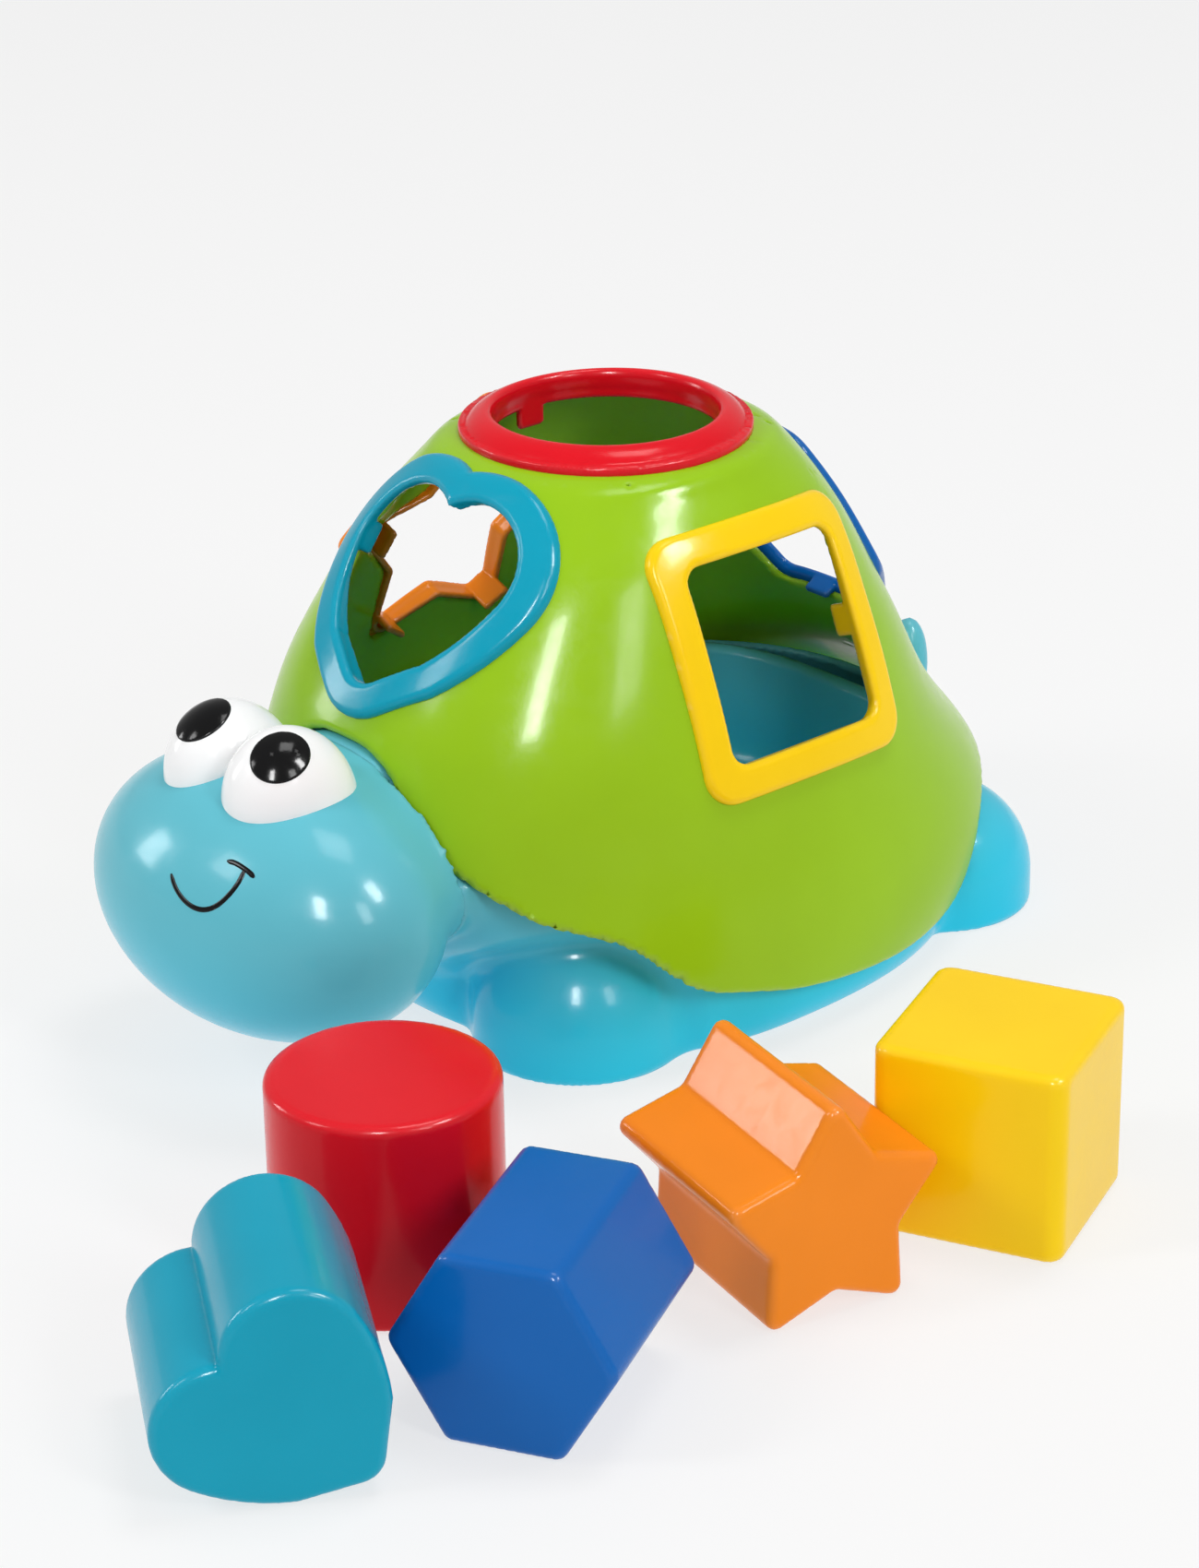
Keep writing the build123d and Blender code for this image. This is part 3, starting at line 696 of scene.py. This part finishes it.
# ---------------------------------------------------------------- materials
# sockets of the Mix node when it mixes colours
MIX_SHARE, MIX_FIRST, MIX_SECOND, MIX_RESULT = 0, 6, 7, 2
PAINTED_LIGHT_TOP = 0.06  # metres above the floor where the painted light low down has faded out
PATCHES = (0.35, 0.7)  # range of the scuff pattern that runs from glossy to satin
EDGES = (0.52, 0.62)  # range of pointiness that counts as an edge
WEAR = 0.22
# factor and lift of the base colour in the clouds' darkest and palest parts, and on a worn edge
CLOUD_DARK, CLOUD_PALE, WORN = (0.90, 0.0), (1.07, 0.004), (0.75, 0.25)


def linear(colour):
    """A colour given as screen values from 0 to 255, in linear light."""
    parts = [value / 255 for value in colour]
    return tuple(v / 12.92 if v <= 0.04045 else ((v + 0.055) / 1.055) ** 2.4 for v in parts) + (1.0,)


def node(tree, kind, **values):
    """A shader node with its inputs and its other settings given by name."""
    made = tree.nodes.new(kind)
    for key, value in values.items():
        if key in made.inputs:
            made.inputs[key].default_value = value
        else:
            setattr(made, key, value)
    return made


def ranged(tree, source, low, high, to_low=0.0, to_high=1.0, curve="LINEAR"):
    """A value mapped from one range to another."""
    made = node(tree, "ShaderNodeMapRange", interpolation_type=curve)
    for socket, value in (("From Min", low), ("From Max", high), ("To Min", to_low), ("To Max", to_high)):
        made.inputs[socket].default_value = value
    tree.links.new(source, made.inputs["Value"])
    return made.outputs["Result"]


def mixed(tree, share, first, second):
    """Two colours, each a value or a node's output, mixed by a share."""
    made = node(tree, "ShaderNodeMix", data_type="RGBA")
    tree.links.new(share, made.inputs[MIX_SHARE])
    for socket, colour in ((MIX_FIRST, first), (MIX_SECOND, second)):
        if isinstance(colour, tuple):
            made.inputs[socket].default_value = colour
        else:
            tree.links.new(colour, made.inputs[socket])
    return made.outputs[MIX_RESULT]


def shaded(colour, factor, lift):
    """A linear colour made darker or paler."""
    return tuple(min(1.0, factor * value + lift) for value in colour[:3]) + (1.0,)


def gloss_plastic(name, colour, painted_low_light=None, roughness=(0.16, 0.27)):
    """Moulded gloss plastic: faint clouds, satin patches, a fine orange-peel bump and paler edges, with
    painted light low down where a colour for it is given.
    """
    material = bpy.data.materials.new(name)
    material.use_nodes = True
    tree = material.node_tree
    shader = tree.nodes["Principled BSDF"]
    shader.inputs["IOR"].default_value = 1.5
    shader.inputs["Specular IOR Level"].default_value = 0.14
    shader.inputs["Coat Weight"].default_value = 0.08
    shader.inputs["Coat Roughness"].default_value = 0.08
    place = node(tree, "ShaderNodeTexCoord")
    clouds = node(tree, "ShaderNodeTexNoise", Scale=26.0, Detail=3.0, Roughness=0.5)
    grain = node(tree, "ShaderNodeTexNoise", Scale=900.0, Detail=2.0, Roughness=0.6)
    scuffs = node(tree, "ShaderNodeTexNoise", Scale=140.0, Detail=4.0, Roughness=0.7, Distortion=1.5)
    for texture in (clouds, grain, scuffs):
        tree.links.new(place.outputs["Object"], texture.inputs["Vector"])
    base = linear(colour)
    result = mixed(tree, clouds.outputs["Fac"], shaded(base, *CLOUD_DARK), shaded(base, *CLOUD_PALE))
    # painted light: low on the piece the colour turns to a brighter, more saturated tint, which stands in
    # for the way the light falls on the lower parts
    if painted_low_light:
        split = node(tree, "ShaderNodeSeparateXYZ")
        tree.links.new(place.outputs["Object"], split.inputs[0])
        height = ranged(tree, split.outputs["Z"], 0.0, PAINTED_LIGHT_TOP, curve="SMOOTHSTEP")
        result = mixed(tree, height, linear(painted_low_light), result)
    edges = node(tree, "ShaderNodeNewGeometry")
    wear = ranged(tree, edges.outputs["Pointiness"], *EDGES, to_high=WEAR)
    result = mixed(tree, wear, result, shaded(base, *WORN))
    tree.links.new(result, shader.inputs["Base Color"])
    finish = ranged(tree, scuffs.outputs["Fac"], *PATCHES, *roughness)
    tree.links.new(finish, shader.inputs["Roughness"])
    bump = node(tree, "ShaderNodeBump", Strength=0.06, Distance=0.0003)
    tree.links.new(grain.outputs["Fac"], bump.inputs["Height"])
    tree.links.new(bump.outputs["Normal"], shader.inputs["Normal"])
    return material


def steel(name):
    """Plain steel with the same fine grain."""
    material = gloss_plastic(name, (170, 172, 175), roughness=(0.28, 0.42))
    material.node_tree.nodes["Principled BSDF"].inputs["Metallic"].default_value = 1.0
    return material


MATERIALS = {
    "green": gloss_plastic("green_plastic", (150, 196, 20)),
    "red": gloss_plastic("red_plastic", (222, 8, 28)),
    "yellow": gloss_plastic("yellow_plastic", (255, 208, 0)),
    "teal": gloss_plastic("teal_plastic", (0, 156, 184)),
    "blue": gloss_plastic("blue_plastic", (0, 96, 176)),
    "orange": gloss_plastic("orange_plastic", (244, 136, 20)),
    # the light blue carries painted light low down: a brighter, more saturated cyan near the floor on the
    # body, head and feet
    "light_blue": gloss_plastic("light_blue_plastic", (97, 187, 203), painted_low_light=(38, 200, 234)),
    "white": gloss_plastic("white_plastic", (250, 250, 250), roughness=(0.12, 0.2)),
    "black": gloss_plastic("black_plastic", (8, 8, 9), roughness=(0.1, 0.18)),
    "steel": steel("screw_steel"),
}
COLOURS = {"circle": "red", "square": "yellow", "heart": "teal", "hexagon": "blue", "star": "orange"}


# ---------------------------------------------------------------- pieces
# the smile and the line at its end, as x and z on the head's front
SMILE = [(5.0, 62.3), (7.6, 60.1), (11.4, 58.1), (15.9, 57.3), (19.8, 58.6), (22.3, 61.5), (23.4, 64.6),
         (23.2, 67.2)]
DIMPLE = [(18.2, 68.0), (20.4, 67.9), (22.6, 67.4), (24.5, 66.8), (26.2, 66.0)]
LINE_HALF_WIDTH, LINE_PROUD, LINE_TAPER, LINE_END = 0.62, 0.18, 0.5, 0.15
LINE_POINTS, LINE_SIDES = 60, 12


def head_front(x, z):
    """The y of the head's front at these places."""
    cx, cy, cz = HEAD_CENTRE
    rx, ry, rz = HEAD_RADII
    return cy - ry * np.sqrt(np.maximum(1 - ((x - cx) / rx) ** 2 - ((z - cz) / rz) ** 2, 0.01))


def printed_line(name, points):
    """A thin raised black line on the head, tapered at its ends."""
    places = np.linspace(0, len(points) - 1, LINE_POINTS)
    x, z = natural_spline([(k, *point) for k, point in enumerate(points)])(places).T
    path = np.stack([x, head_front(x, z), z], 1)
    out = (path - np.array(HEAD_CENTRE)) / np.square(HEAD_RADII)
    out /= np.linalg.norm(out, axis=1)[:, None]
    across = np.cross(np.gradient(path, axis=0), out)
    across /= np.linalg.norm(across, axis=1)[:, None]
    ends = np.minimum(places, places[-1] - places) / LINE_TAPER
    width = LINE_HALF_WIDTH * np.sqrt(np.clip(LINE_END + ends, 0, 1))
    turns = [2 * math.pi * k / LINE_SIDES for k in range(LINE_SIDES)]
    rows = [path + across * (width * math.cos(t))[:, None] + out * (LINE_PROUD * math.sin(t))
            for t in turns]
    tube = np.stack(rows, 1).reshape(-1, 3)
    faces = []
    for i in range(LINE_POINTS - 1):
        for k in range(LINE_SIDES):
            a, b = i * LINE_SIDES + k, i * LINE_SIDES + (k + 1) % LINE_SIDES
            faces.append((a, b, b + LINE_SIDES, a + LINE_SIDES))
    faces += [tuple(reversed(range(LINE_SIDES))), tuple(range(len(tube) - LINE_SIDES, len(tube)))]
    add_mesh(name, tube, faces, "base", MATERIALS["black"], "black")


def finish_node(name, slot):
    """Puts a material on a CAD node whose own shape shows."""
    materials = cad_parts[name].data.materials
    materials.clear()
    materials.append(MATERIALS[slot])


def make_lid():
    grow_piece("shell_looks", shell_field, "shell", "lid", "green", STEPS["shell"])
    for name, colour in COLOURS.items():
        grow_piece(f"rim_{name}_looks", rim_field(name), f"rim_{name}", "lid", colour, STEPS["rim"])


def make_base():
    grow_piece("body_looks", body_field, "body_base", "base", "light_blue", STEPS["body"])
    grow_piece("head_looks", head_field, "head", "base", "light_blue", STEPS["head"], margin=5.0)
    grow_piece("bowl_looks", bowl_field, "inner_bowl", "base", "light_blue", STEPS["bowl"])
    for side, name in ((1, "left"), (-1, "right")):
        grow_piece(f"eye_{name}_looks", eye_field(side), f"eye_{name}", "base", "white", STEPS["eye"])
        grow_piece(f"pupil_{name}_looks", pupil_field(name), f"pupil_{name}", "base", "black",
                   STEPS["pupil"], margin=1.0)
    printed_line("smile", SMILE)
    printed_line("dimple", DIMPLE)
    finish_node("head_screws", "steel")


def make_blocks():
    for name, colour in COLOURS.items():
        grow_piece(f"{name}_looks", block_field(name), f"{name}_block", name, colour, STEPS["block"])
        finish_node(f"{name}_plug", colour)


# ---------------------------------------------------------------- stage
# a long lens from the turtle's front left
CAMERA_PLACE = Vector((0.72637, -0.63172, 0.46973))
CAMERA_TARGET = Vector((0.0, -0.004, 0.042))
CAMERA_ROLL = math.radians(-0.97)
CAMERA_LENS = 95.18
# the floor glows, which keeps it even and its shadows faint
FLOOR_PALE, FLOOR_GLOW, FLOOR_HALF = 0.22, 0.70, 6.0
WORLD_LIGHT = 0.52
# name, place, aim, width, height, power, and whether it shows only as a highlight
LIGHTS = [
    ("key", (-0.5, -1.3, 1.2), (0, -0.05, 0.06), 0.35, 0.5, 8.0, False),
    ("side", (1.5, -0.1, 1.0), (0, 0, 0.06), 0.3, 0.55, 8.0, False),
    ("top", (0.2, 0.3, 1.7), (0, 0, 0.06), 0.55, 0.55, 8.0, False),
    ("front_shine", (0.9, -0.93, 1.02), (0, 0, 0.08), 0.2, 0.5, 20.0, True),
    ("side_shine", (1.05, 0.4, 1.15), (0, 0, 0.06), 0.26, 0.42, 20.0, True),
    ("left_shine", (-1.24, -0.89, 0.5), (0, -0.1, 0.06), 0.3, 0.5, 7.0, True),
]


def make_camera():
    camera = bpy.data.objects.new("camera", bpy.data.cameras.new("camera"))
    camera.data.lens = CAMERA_LENS
    camera.data.sensor_width = 36.0
    camera.data.clip_start = 0.05
    camera.data.clip_end = 20.0
    aim = (CAMERA_TARGET - CAMERA_PLACE).to_track_quat("-Z", "Y") @ Quaternion((0, 0, 1), CAMERA_ROLL)
    camera.location = CAMERA_PLACE
    camera.rotation_mode = "QUATERNION"
    camera.rotation_quaternion = aim
    bpy.context.scene.collection.objects.link(camera)
    bpy.context.scene.camera = camera


def softbox(name, place, target, width, height, power, shine_only):
    """An area light. One for shine only lights nothing, and shows as a highlight on gloss."""
    light = bpy.data.objects.new(name, bpy.data.lights.new(name, "AREA"))
    light.visible_diffuse = not shine_only
    light.data.shape = "RECTANGLE"
    light.data.size = width
    light.data.size_y = height
    light.data.energy = power
    light.location = place
    light.rotation_euler = (Vector(target) - Vector(place)).to_track_quat("-Z", "Y").to_euler()
    bpy.context.scene.collection.objects.link(light)


def make_floor():
    mesh = bpy.data.meshes.new("floor")
    corners = [(x * FLOOR_HALF, y * FLOOR_HALF, 0) for x, y in ((-1, -1), (1, -1), (1, 1), (-1, 1))]
    mesh.from_pydata(corners, [], [(0, 1, 2, 3)])
    floor = bpy.data.objects.new("floor", mesh)
    bpy.context.scene.collection.objects.link(floor)
    material = bpy.data.materials.new("pale_floor")
    material.use_nodes = True
    shader = material.node_tree.nodes["Principled BSDF"]
    shader.inputs["Base Color"].default_value = (FLOOR_PALE, FLOOR_PALE, FLOOR_PALE, 1)
    shader.inputs["Emission Color"].default_value = (1, 1, 1, 1)
    shader.inputs["Emission Strength"].default_value = FLOOR_GLOW
    shader.inputs["Roughness"].default_value = 0.9
    shader.inputs["Specular IOR Level"].default_value = 0.1
    mesh.materials.append(material)


def make_lights():
    world = bpy.data.worlds.new("studio")
    bpy.context.scene.world = world
    world.use_nodes = True
    background = world.node_tree.nodes["Background"]
    background.inputs["Color"].default_value = (1.0, 1.0, 1.0, 1)
    background.inputs["Strength"].default_value = WORLD_LIGHT
    for light in LIGHTS:
        softbox(*light)
    bpy.context.scene.view_settings.view_transform = "Standard"


make_camera()
make_lights()
make_floor()
make_lid()
make_base()
make_blocks()
